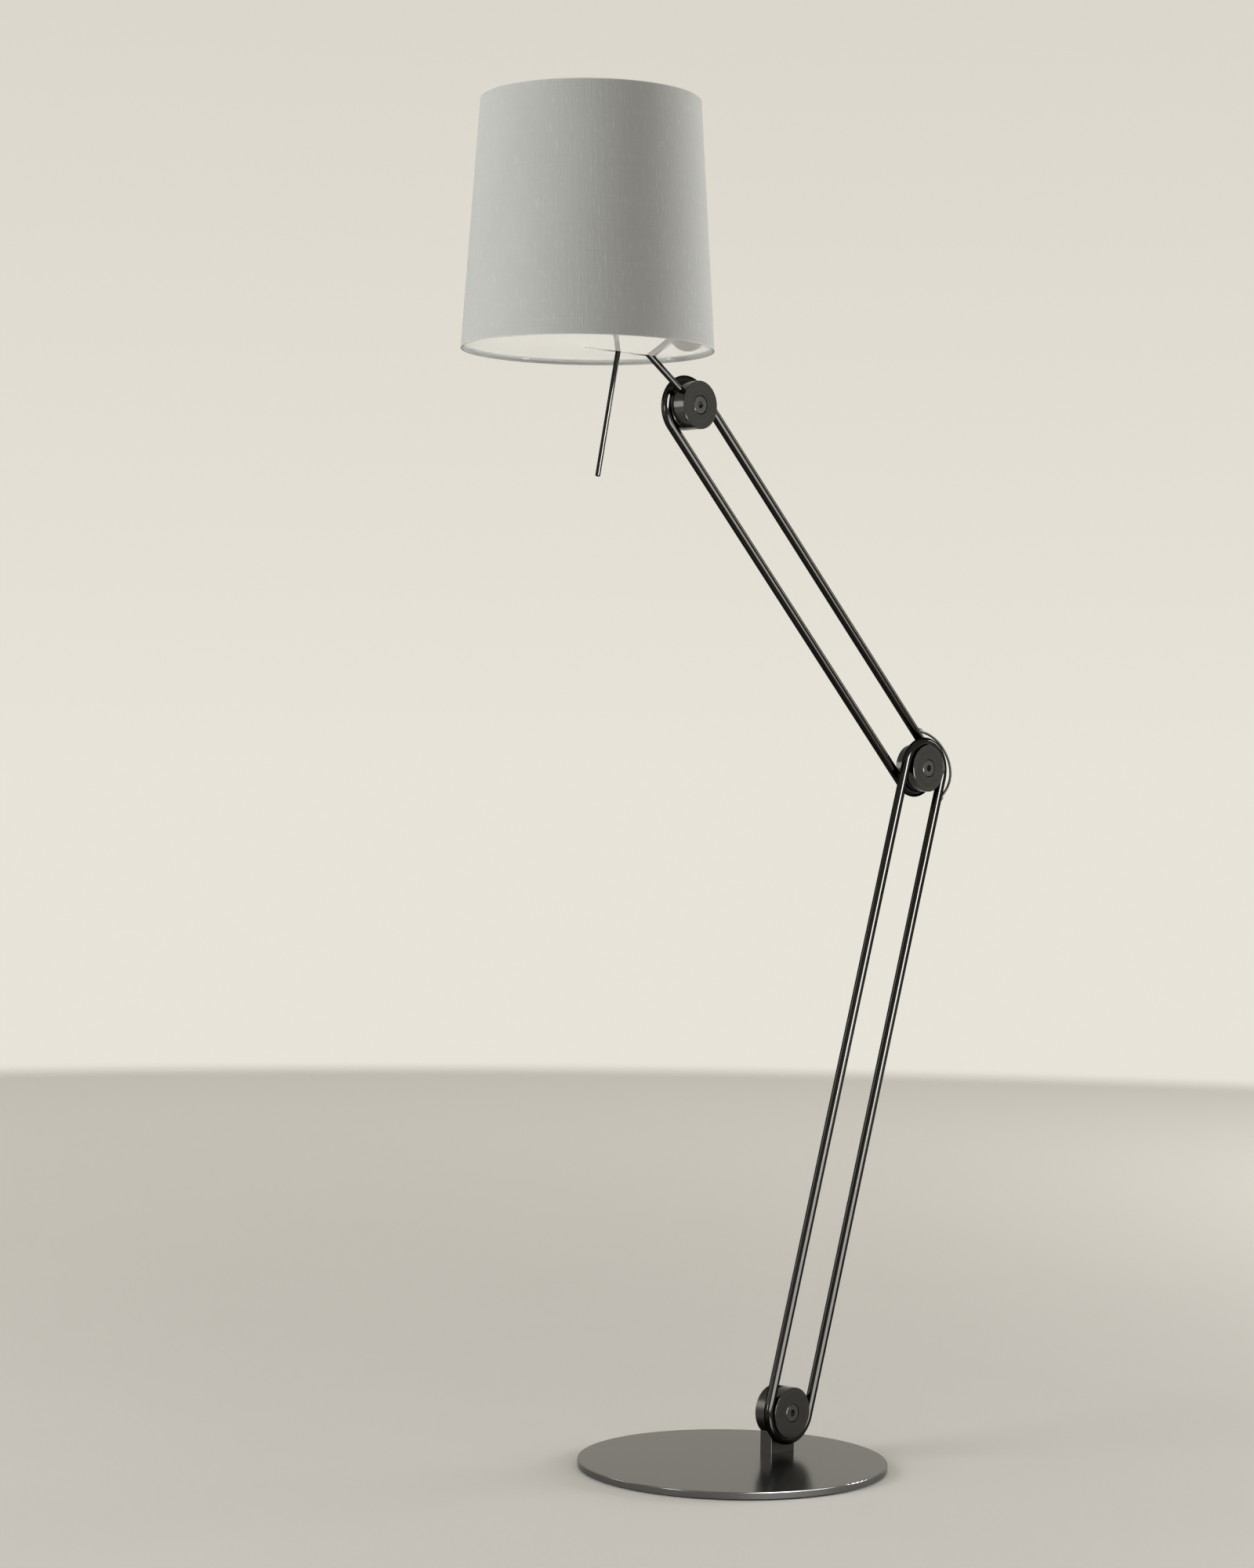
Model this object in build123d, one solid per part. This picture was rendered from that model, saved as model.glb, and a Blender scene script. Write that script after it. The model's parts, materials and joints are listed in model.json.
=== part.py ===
from build123d import *
from math import atan2, cos, degrees, hypot, pi, radians, sin, tan
import os

# Adjustable arm floor lamp, millimetres.
# +Z is up and the origin is the middle of the felt pad's underside, on the floor.
# The arms swing in planes parallel to XZ: every hinge axis runs along Y.
# The bolt heads face -Y, the elbow leans to +X and the shade hangs towards -X.

# ---------------------------------------------------------------- driving sizes
FELT_RADIUS = 186.0
FELT_THICK = 2.0
PLATE_RADIUS = 190.0
PLATE_THICK = 8.0
PLATE_EDGE = 1.0

BASE_AXIS_X = 81.5
BASE_AXIS_Z = 60.0
BRACKET_HEAD_RADIUS = 31.0
BRACKET_FOOT_LENGTH = 42.0
BRACKET_THICK = 19.0
BASE_SCREW_RADIUS = 4.0
BASE_SCREW_HEAD = 7.5
BASE_SCREW_GRIP = 18.0
BASE_SCREW_OFFSET = 13.0
OUTLET_RADIUS = 3.5
OUTLET_Z = 24.0

LOWER_LENGTH = 837.0
LOWER_LEAN = 17.0
LOWER_WIDTH = 72.5
UPPER_LENGTH = 614.5
UPPER_LEAN = -45.5
UPPER_WIDTH = 66.0
TUBE_RADIUS = 6.0
TUBE_WALL = 1.5
END_INSET = 2.5

HUB_THICK = 15.0
BASE_HUB_RADIUS = 31.6
ELBOW_HUB_RADIUS = 30.2
HEAD_HUB_RADIUS = 29.0
RIM_CHAMFER = 0.6
CLAMP_CIRCLE = 20.0
CLAMP_SCREW_RADIUS = 2.0
CLAMP_HEAD_RADIUS = 3.6
CLAMP_ANGLES = (30, 150, 270)

JOINT_REAR_Y = -9.5
JOINT_GAP = 0.6
BOLT_RADIUS = 5.0
BOLT_HEAD_RADIUS = 10.8
BOLT_HEAD_THICK = 5.0
BOLT_POCKET_RADIUS = 11.6
BOLT_POCKET_DEPTH = 7.0
HEX_SOCKET_FLATS = 8.0
HEX_SOCKET_DEPTH = 3.5
NUT_FLATS = 16.0
NUT_THICK = 5.4
NUT_POCKET_RADIUS = 10.0
NUT_POCKET_DEPTH = 6.0
CAP_RADIUS = 12.5
FRICTION_RADIUS = 25.0
CAP_THICK = 1.5
RUNNING_GAP = 0.05
THREAD_GAP = 0.03

DRUM_RADIUS = 29.0
DRUM_THICK = 19.0
STEM_RADIUS = 4.0
STEM_WALL = 1.2
STEM_START = 10.0
HANDLE_RADIUS = 3.0
HANDLE_LENGTH = 183.6
HANDLE_LEAN = 11.7
HANDLE_ALONG_STEM = 149.8

SHADE_AXIS_X = -292.7
SHADE_HINGE_Z = 1412.3
SHADE_BOTTOM_Z = 1339.7
SHADE_TOP_Z = 1630.0
SHADE_BOTTOM_RADIUS = 147.5
SHADE_TOP_RADIUS = 128.6
FABRIC_THICK = 0.6
LINER_THICK = 0.6
HEM_HEIGHT = 5.0
HEM_THICK = 0.5
WIRE_RADIUS = 1.5
DIFFUSER_RECESS = 3.1
DIFFUSER_THICK = 3.0
SLOT_WIDTH = 9.5
SLOT_INNER = -6.3
SLOT_OUTER = 112.0
CLIP_WIDTH = 6.0
CLIP_THICK = 0.8
CLIP_ANGLES = (0, 78, 180, 258)
SPIDER_ANGLES = (60, 180, 300)

EYE_RADIUS = 9.0
EYE_HALF = 6.6
HINGE_WASHER = 0.6
EAR_THICK = 3.0
HINGE_BOLT_RADIUS = 3.0

FORK_TOP = 20.0
HOLDER_BASE = (19.0, 15.0)
HOLDER_SHELL = (20.0, 44.0)
BULB_CAP_RADIUS = 13.2
BULB_CAP_HEIGHT = 24.0
BULB_HEIGHT = 80.0
BULB_WALL = 1.2

CABLE_RADIUS = 1.7
GROMMET_RADIUS = 2.9
CABLE_HOLE_ALONG = 29.0

# ---------------------------------------------------------------- worked-out places
PLATE_TOP = FELT_THICK + PLATE_THICK
JOINT_FRONT_Y = JOINT_REAR_Y - JOINT_GAP
LOWER_MID_Y = JOINT_FRONT_Y - HUB_THICK / 2
LOWER_FRONT_Y = JOINT_FRONT_Y - HUB_THICK
UPPER_MID_Y = JOINT_REAR_Y + HUB_THICK / 2
UPPER_REAR_Y = JOINT_REAR_Y + HUB_THICK
DRUM_FRONT_Y = JOINT_FRONT_Y - DRUM_THICK
STEM_Y = JOINT_FRONT_Y - DRUM_THICK / 2
ELBOW_X = BASE_AXIS_X + LOWER_LENGTH * sin(radians(LOWER_LEAN))
ELBOW_Z = BASE_AXIS_Z + LOWER_LENGTH * cos(radians(LOWER_LEAN))
HEAD_X = ELBOW_X + UPPER_LENGTH * sin(radians(UPPER_LEAN))
HEAD_Z = ELBOW_Z + UPPER_LENGTH * cos(radians(UPPER_LEAN))
STEM_LENGTH = hypot(SHADE_AXIS_X - HEAD_X, SHADE_HINGE_Z - HEAD_Z)
STEM_LEAN = degrees(atan2(SHADE_AXIS_X - HEAD_X, SHADE_HINGE_Z - HEAD_Z))
HANDLE_TOP_X = HEAD_X + HANDLE_ALONG_STEM * sin(radians(STEM_LEAN))
HANDLE_TOP_Z = HEAD_Z + HANDLE_ALONG_STEM * cos(radians(STEM_LEAN))
DIFFUSER_Z = SHADE_BOTTOM_Z + DIFFUSER_RECESS
SHADE_HEIGHT = SHADE_TOP_Z - SHADE_BOTTOM_Z
SHADE_SLOPE = (SHADE_BOTTOM_RADIUS - SHADE_TOP_RADIUS) / SHADE_HEIGHT

BASE_PIVOT = Pos(BASE_AXIS_X, 0, BASE_AXIS_Z)
ELBOW_PIVOT = Pos(ELBOW_X, 0, ELBOW_Z)
HEAD_PIVOT = Pos(HEAD_X, 0, HEAD_Z)
LOWER_ARM = BASE_PIVOT * Rot(0, LOWER_LEAN, 0)
UPPER_ARM = ELBOW_PIVOT * Rot(0, UPPER_LEAN, 0)
STEM = Pos(HEAD_X, STEM_Y, HEAD_Z) * Rot(0, STEM_LEAN, 0)
HANDLE = Pos(HANDLE_TOP_X, STEM_Y, HANDLE_TOP_Z) * Rot(0, 180 + HANDLE_LEAN, 0)
SHADE = Pos(SHADE_AXIS_X, STEM_Y, 0)
HINGE = Pos(SHADE_AXIS_X, STEM_Y, SHADE_HINGE_Z)


# ---------------------------------------------------------------- simple shapes
def save(shape, node):
    """Write one sub-part to its own STEP file."""
    export_step(shape, f"parts/{node}.step")


def rod(radius, low, high):
    """A round bar along local Z between two heights."""
    return Pos(0, 0, (low + high) / 2) * Cylinder(radius, high - low)


def ring(outer, inner, low, high):
    """A round tube or washer along local Z between two heights."""
    return rod(outer, low, high) - rod(inner, low - 1, high + 1)


def disc(radius, y_low, y_high):
    """A round disc about the Y axis between two depths."""
    return Pos(0, (y_low + y_high) / 2, 0) * Rot(90, 0, 0) * Cylinder(radius, y_high - y_low)


def washer(outer, inner, y_low, y_high):
    """A flat ring about the Y axis between two depths."""
    return disc(outer, y_low, y_high) - disc(inner, y_low - 1, y_high + 1)


def hexagon(flats, y_low, y_high):
    """A hexagonal bar about the Y axis between two depths."""
    outline = RegularPolygon(flats / 2, 6, major_radius=False)
    return Pos(0, y_high, 0) * Rot(90, 0, 0) * extrude(outline, y_high - y_low)


def box_between(low, high):
    """A block from its lowest corner to its highest corner."""
    size = [high[i] - low[i] for i in range(3)]
    centre = [(high[i] + low[i]) / 2 for i in range(3)]
    return Pos(*centre) * Box(*size)


def turned(points):
    """A solid turned about local Z from its (radius, height) outline."""
    outline = Polyline([(r, 0, z) for r, z in points], close=True)
    return revolve(make_face(outline), Axis.Z)


def front_edge(shape, y):
    """The longest round edge lying at one depth."""
    edges = shape.edges().filter_by(GeomType.CIRCLE).filter_by_position(Axis.Y, y - 0.01, y + 0.01)
    return edges.sort_by(SortBy.RADIUS)[-1]


def coned_washers(floor_y):
    """Two coned spring washers, back to back, standing on a pocket's floor."""
    inner = BOLT_RADIUS + 0.4
    outer = BOLT_HEAD_RADIUS - 1.3
    height = BOLT_POCKET_DEPTH - BOLT_HEAD_THICK
    thick = 0.7
    lean = height / 2 - thick
    cone = turned([(inner, lean), (outer, 0), (outer, thick), (inner, lean + thick)])
    lower = Pos(0, floor_y, 0) * Rot(90, 0, 0) * cone
    upper = Pos(0, floor_y - height, 0) * Rot(-90, 0, 0) * cone
    return Compound([lower.solid(), upper.solid()])


# ---------------------------------------------------------------- the arms
def loop_bar(width, length, radius, y_mid):
    """Round bar bent into a long closed loop about both pivots of an arm."""
    half = width / 2
    low = END_INSET
    high = length - END_INSET
    turn = Torus(half, radius, major_angle=180, align=None)
    bar = Pos(0, y_mid, high) * Rot(90, 0, 0) * turn
    bar += Pos(0, y_mid, low) * Rot(-90, 0, 0) * turn
    for side in (-half, half):
        bar += Pos(side, y_mid, 0) * rod(radius, low, high)
    return bar


def arm_loop(width, length, y_mid):
    """The hollow loop of one arm."""
    hollow = loop_bar(width, length, TUBE_RADIUS - TUBE_WALL, y_mid)
    return loop_bar(width, length, TUBE_RADIUS, y_mid) - hollow


def countersunk(head_radius, radius, reach):
    """A countersunk screw's outline turned about local Z, its head at the origin."""
    cone = head_radius - radius
    return turned([(0, 0), (head_radius, 0), (radius, cone), (radius, reach), (0, reach)])


def clamp_screws(y_head, y_tip):
    """Three countersunk screws that pull a hub's cheeks together, and the holes they fill."""
    hole = Rot(90, 0, 0) * countersunk(CLAMP_HEAD_RADIUS, CLAMP_SCREW_RADIUS, y_head - y_tip)
    screw = hole - Pos(0, -0.5, 0) * Box(5.0, 1.0, 0.9)
    screws = []
    holes = []
    for angle in CLAMP_ANGLES:
        place = Pos(CLAMP_CIRCLE * cos(radians(angle)), y_head, CLAMP_CIRCLE * sin(radians(angle)))
        screws.append((place * screw).solid())
        holes.append(place * hole)
    return screws, holes


def hub(radius, y_front, loop, along, head_pocket):
    """Two turned cheeks that grip the end of a loop, with their clamp screws.

    head_pocket is true where the pivot bolt's head is let into the front cheek, and
    false where its nut is let into the rear cheek.
    """
    middle = y_front + HUB_THICK / 2
    rear = y_front + HUB_THICK
    at = Pos(0, 0, along)
    front_cheek = disc(radius, y_front, middle)
    front_cheek = chamfer(front_edge(front_cheek, y_front), RIM_CHAMFER)
    rear_cheek = disc(radius, middle, rear)
    rear_cheek = chamfer(front_edge(rear_cheek, rear), RIM_CHAMFER)
    gap = RUNNING_GAP if head_pocket else THREAD_GAP
    bore = disc(BOLT_RADIUS + gap, y_front - 1, rear + 1)
    if head_pocket:
        pocket = disc(BOLT_POCKET_RADIUS, y_front - 1, y_front + BOLT_POCKET_DEPTH)
    else:
        pocket = disc(NUT_POCKET_RADIUS, rear - NUT_POCKET_DEPTH, rear + 1)
    screws, holes = clamp_screws(rear, y_front + 2.5)
    front_cheek = front_cheek - bore - pocket
    rear_cheek = rear_cheek - bore - pocket
    for hole in holes:
        front_cheek -= hole
        rear_cheek -= hole
    placed = [at * screw for screw in screws]
    return at * front_cheek - loop, at * rear_cheek - loop, placed


def save_hub(name, arm, radius, y_front, loop, along, head_pocket):
    """Write one hub's two cheeks on its arm, and return its clamp screws."""
    front_cheek, rear_cheek, screws = hub(radius, y_front, loop, along, head_pocket)
    save(arm * front_cheek, f"{name}_front_cheek")
    save(arm * rear_cheek, f"{name}_rear_cheek")
    return [(arm * screw).solid() for screw in screws]


# ---------------------------------------------------------------- pivot joints
def pivot_bolt(y_front, y_tip):
    """A cap bolt with a hexagon socket, its head flush with the front face."""
    bolt = disc(BOLT_HEAD_RADIUS, y_front, y_front + BOLT_HEAD_THICK)
    bolt = chamfer(front_edge(bolt, y_front), RIM_CHAMFER)
    bolt += disc(BOLT_RADIUS, y_front + BOLT_HEAD_THICK, y_tip)
    bolt -= hexagon(HEX_SOCKET_FLATS, y_front - 1, y_front + HEX_SOCKET_DEPTH)
    return bolt


def save_pivots(name, pivots):
    """Write the bolts, washers, nuts and caps of one body's pivots.

    pivots maps each pivot's name to its place and its front and rear faces.
    """
    plural = "s" if len(pivots) > 1 else ""
    springs, slips, nuts, caps = [], [], [], []
    for bolt_name, (pivot, y_front, y_rear) in pivots.items():
        nut_floor = y_rear - NUT_POCKET_DEPTH
        nut_end = nut_floor + NUT_THICK
        nut_bore = disc(BOLT_RADIUS + THREAD_GAP, nut_floor - 1, nut_end + 1)
        nut = hexagon(NUT_FLATS, nut_floor, nut_end) - nut_bore
        cap = disc(CAP_RADIUS, y_rear, y_rear + CAP_THICK)
        cap = fillet(front_edge(cap, y_rear + CAP_THICK), CAP_THICK * 0.6)
        cap += disc(NUT_POCKET_RADIUS - THREAD_GAP, nut_end + 0.1, y_rear)
        slip = washer(FRICTION_RADIUS, BOLT_RADIUS + 0.3, JOINT_FRONT_Y, JOINT_REAR_Y)
        save(pivot * pivot_bolt(y_front, nut_end), f"{bolt_name}_pivot_bolt")
        springs += (pivot * coned_washers(y_front + BOLT_POCKET_DEPTH)).solids()
        slips.append((pivot * slip).solid())
        nuts.append((pivot * nut).solid())
        caps.append((pivot * cap).solid())
    save(Compound(springs), f"{name}_spring_washers")
    save(Compound(slips), f"{name}_friction_washer{plural}")
    save(Compound(nuts), f"{name}_lock_nut{plural}")
    save(Compound(caps), f"{name}_rear_cap{plural}")


# ---------------------------------------------------------------- base
def make_base():
    """Felt pad, weighted plate, upright bracket and what fastens them."""
    save(rod(FELT_RADIUS, 0, FELT_THICK), "felt_pad")

    foot_half = BRACKET_FOOT_LENGTH / 2
    half = BRACKET_THICK / 2
    foot = box_between((-foot_half, -half, PLATE_TOP - BASE_AXIS_Z), (foot_half, half, 0))
    foot = fillet(foot.edges().filter_by(Axis.Z), 1.0)
    head = disc(BRACKET_HEAD_RADIUS, -half, half)
    head = chamfer(head.edges().filter_by(GeomType.CIRCLE), RIM_CHAMFER)
    bracket = foot + head
    bracket -= disc(BOLT_RADIUS + THREAD_GAP, -half - 1, half + 1)
    bracket -= disc(NUT_POCKET_RADIUS, half - NUT_POCKET_DEPTH, half + 1)
    outlet_z = OUTLET_Z - BASE_AXIS_Z
    bracket -= Pos(0, 0, outlet_z) * disc(OUTLET_RADIUS + 1.5, 0, half + 1)
    bracket -= rod(OUTLET_RADIUS, outlet_z, -BOLT_RADIUS)

    hole = countersunk(BASE_SCREW_HEAD, BASE_SCREW_RADIUS, PLATE_THICK + BASE_SCREW_GRIP)
    screw = hole - extrude(RegularPolygon(2.5, 6, major_radius=False), 3.0)

    plate = rod(PLATE_RADIUS, FELT_THICK, PLATE_TOP)
    top_rim = plate.edges().filter_by(GeomType.CIRCLE).sort_by(Axis.Z)[-1]
    plate = fillet(top_rim, PLATE_EDGE)
    bracket = BASE_PIVOT * bracket
    screws = []
    for side in (-BASE_SCREW_OFFSET, BASE_SCREW_OFFSET):
        place = Pos(BASE_AXIS_X + side, 0, FELT_THICK)
        plate -= place * hole
        bracket -= place * hole
        screws.append((place * screw).solid())
    save(plate, "base_plate")
    save(bracket, "base_bracket")
    save(Compound(screws), "base_screws")

    outlet = washer(OUTLET_RADIUS + 1.5, OUTLET_RADIUS, half - 6.0, half)
    outlet += washer(OUTLET_RADIUS + 3.0, OUTLET_RADIUS, half, half + 1.5)
    save(Pos(BASE_AXIS_X, 0, OUTLET_Z) * outlet, "cable_grommet")
    save_pivots("base", {"base": (BASE_PIVOT, LOWER_FRONT_Y, half)})


# ---------------------------------------------------------------- elbow cable
def cable_route():
    """The elbow cable's points, from the upper tube's hole round to the lower tube's."""
    steps = [
        (2.5, 48.6, 0.00),
        (16.5, 46.5, 0.05),
        (31.0, 41.0, 0.17),
        (44.0, 31.5, 0.31),
        (53.5, 19.0, 0.46),
        (58.6, 4.5, 0.62),
        (57.5, -10.5, 0.77),
        (50.0, -23.5, 0.89),
        (39.5, -33.0, 0.97),
        (28.5, -41.0, 1.00),
    ]
    depth = LOWER_MID_Y - UPPER_MID_Y
    return [Vector(ELBOW_X + x, UPPER_MID_Y + depth * share, ELBOW_Z + z) for x, z, share in steps]


def soft_path(points):
    """Straight runs joined by arcs as large as the runs allow, with the arcs' radii."""
    radii = []
    for before, here, after in zip(points, points[1:], points[2:]):
        arriving = here - before
        leaving = after - here
        turn = radians(arriving.get_angle(leaving))
        radii.append(0.45 * min(arriving.length, leaving.length) / tan(turn / 2))
    return FilletPolyline(*points, radius=radii), radii


def cable_end(point, onward):
    """A frame at one end of the cable whose local Z runs out along it."""
    return Plane(origin=point, z_dir=onward - point).location


def make_cable():
    """The free cable at the elbow. Returns the frames of its two ends and its hole."""
    points = cable_route()
    path, radii = soft_path(points)
    start = cable_end(points[0], points[1])
    finish = cable_end(points[-1], points[-2])
    section = start * Circle(CABLE_RADIUS)
    cable = sweep(section, path=path)
    save(cable, "elbow_cable")
    expected = pi * CABLE_RADIUS**2 * path.length
    print("elbow cable: length", round(path.length, 1), "radii", [round(r, 1) for r in radii])
    print("elbow cable: volume", round(cable.volume, 1), "expected", round(expected, 1))

    hole = rod(GROMMET_RADIUS + THREAD_GAP, -0.5, 12.0)
    return start, finish, hole


def cable_grommet(exit_frame, arm, tube):
    """A rubber bush through the tube's wall, with a saddle that hugs the tube."""
    bore = CABLE_RADIUS + THREAD_GAP
    bush = exit_frame * ring(GROMMET_RADIUS, bore, 0.4, 5.0)
    saddle = exit_frame * ring(GROMMET_RADIUS + 1.0, bore, 1.0, 6.5) - arm * tube
    return bush + saddle.solids().sort_by(SortBy.VOLUME)[-1]


# ---------------------------------------------------------------- arms
def make_arms(upper_exit, lower_exit, hole):
    """Both loops with their hubs, cable grommets and the leads drawn through the tubes."""
    lower_bar = loop_bar(LOWER_WIDTH, LOWER_LENGTH, TUBE_RADIUS, LOWER_MID_Y)
    upper_bar = loop_bar(UPPER_WIDTH, UPPER_LENGTH, TUBE_RADIUS, UPPER_MID_Y)
    lower_loop = LOWER_ARM * arm_loop(LOWER_WIDTH, LOWER_LENGTH, LOWER_MID_Y)
    upper_loop = UPPER_ARM * arm_loop(UPPER_WIDTH, UPPER_LENGTH, UPPER_MID_Y)
    save(lower_loop - lower_exit * hole, "lower_arm_loop")
    save(upper_loop - upper_exit * hole, "upper_arm_loop")
    save(cable_grommet(lower_exit, LOWER_ARM, lower_bar), "lower_cable_grommet")
    save(cable_grommet(upper_exit, UPPER_ARM, upper_bar), "upper_cable_grommet")
    front = LOWER_FRONT_Y
    screws = save_hub("lower_base_hub", LOWER_ARM, BASE_HUB_RADIUS, front, lower_bar, 0, True)
    screws += save_hub("lower_elbow_hub", LOWER_ARM, ELBOW_HUB_RADIUS, front, lower_bar, LOWER_LENGTH, True)
    save(Compound(screws), "lower_arm_clamp_screws")
    front = JOINT_REAR_Y
    screws = save_hub("upper_elbow_hub", UPPER_ARM, ELBOW_HUB_RADIUS, front, upper_bar, 0, False)
    screws += save_hub("upper_head_hub", UPPER_ARM, HEAD_HUB_RADIUS, front, upper_bar, UPPER_LENGTH, False)
    save(Compound(screws), "upper_arm_clamp_screws")
    save_pivots("upper_arm", {
        "elbow": (ELBOW_PIVOT, LOWER_FRONT_Y, UPPER_REAR_Y),
        "head": (HEAD_PIVOT, DRUM_FRONT_Y, UPPER_REAR_Y),
    })

    lower_lead = rod(CABLE_RADIUS, END_INSET, LOWER_LENGTH - CABLE_HOLE_ALONG - 12)
    upper_lead = rod(CABLE_RADIUS, CABLE_HOLE_ALONG + 12, UPPER_LENGTH - END_INSET)
    save(LOWER_ARM * (Pos(LOWER_WIDTH / 2, LOWER_MID_Y, 0) * lower_lead), "lower_arm_lead")
    save(UPPER_ARM * (Pos(UPPER_WIDTH / 2, UPPER_MID_Y, 0) * upper_lead), "upper_arm_lead")


# ---------------------------------------------------------------- head
def make_head():
    """The turned drum, the stem that carries the shade and the handle."""
    drum = disc(DRUM_RADIUS, DRUM_FRONT_Y, JOINT_FRONT_Y)
    drum = chamfer(drum.edges().filter_by(GeomType.CIRCLE), RIM_CHAMFER)
    drum -= disc(BOLT_RADIUS + RUNNING_GAP, DRUM_FRONT_Y - 1, JOINT_FRONT_Y + 1)
    drum -= disc(BOLT_POCKET_RADIUS, DRUM_FRONT_Y - 1, DRUM_FRONT_Y + BOLT_POCKET_DEPTH)
    drum = HEAD_PIVOT * drum - STEM * rod(STEM_RADIUS + THREAD_GAP, STEM_START, DRUM_RADIUS + 5)
    grub = rod(2.5, 0, 4.4) - extrude(RegularPolygon(1.25, 6, major_radius=False), 2.0)
    grub_place = STEM * Pos(0, JOINT_FRONT_Y - STEM_Y - 0.6, 20.0) * Rot(90, 0, 0)
    drum -= grub_place * rod(2.5 + THREAD_GAP, -2, 5)
    save(drum, "head_drum")
    save(grub_place * grub, "stem_grub_screw")

    stem = ring(STEM_RADIUS, STEM_RADIUS - STEM_WALL, STEM_START, STEM_LENGTH - EYE_RADIUS)
    stud = HANDLE * rod(1.5, STEM_RADIUS - STEM_WALL, 16.0)
    stem = STEM * stem - HANDLE * rod(1.5 + THREAD_GAP, 0, 10)
    handle = rod(HANDLE_RADIUS, 0, HANDLE_LENGTH)
    handle = fillet(handle.edges().filter_by(GeomType.CIRCLE).sort_by(Axis.Z)[-1], 1.2)
    handle = HANDLE * handle - STEM * rod(STEM_RADIUS + THREAD_GAP, 0, STEM_LENGTH)
    handle -= HANDLE * rod(1.5 + THREAD_GAP, 0, 16.5)
    save(stem, "stem_tube")
    save(handle, "handle_rod")
    save(stud, "handle_stud")
    save(STEM * rod(CABLE_RADIUS, STEM_START + 2, STEM_LENGTH - EYE_RADIUS - 2), "stem_lead")

    to_hinge = STEM * Pos(0, 0, STEM_LENGTH)
    eye = disc(EYE_RADIUS, -EYE_HALF, EYE_HALF) + rod(EYE_HALF - 0.2, -20.0, -5.0)
    eye -= disc(HINGE_BOLT_RADIUS + RUNNING_GAP, -EYE_HALF - 1, EYE_HALF + 1)
    eye -= rod(STEM_RADIUS + THREAD_GAP, -21.0, -EYE_RADIUS)
    save(to_hinge * eye, "stem_eye")


# ---------------------------------------------------------------- shade hinge and lampholder
def bulb_line(neck, wall):
    """One face of the bulb's glass from its neck to its crown, set in by the wall."""
    crown = neck + BULB_HEIGHT - wall
    return Spline(
        (BULB_CAP_RADIUS - wall, 0, neck),
        (17.0 - wall, 0, neck + 14),
        (29.0 - wall, 0, neck + 38),
        (30.0 - wall, 0, neck + 52),
        (21.0 - wall, 0, crown - 8 + wall),
        (0, 0, crown),
        tangents=[(0, 0, 1), (-1, 0, 0)],
    )


def bulb_envelope(neck):
    """The bulb's thin blown envelope, open at its neck."""
    outer = bulb_line(neck, 0)
    inner = bulb_line(neck, BULB_WALL)
    rim = Line(outer @ 0, inner @ 0)
    crown = Line(outer @ 1, inner @ 1)
    return revolve(make_face(outer + crown + inner + rim), Axis.Z)


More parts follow.
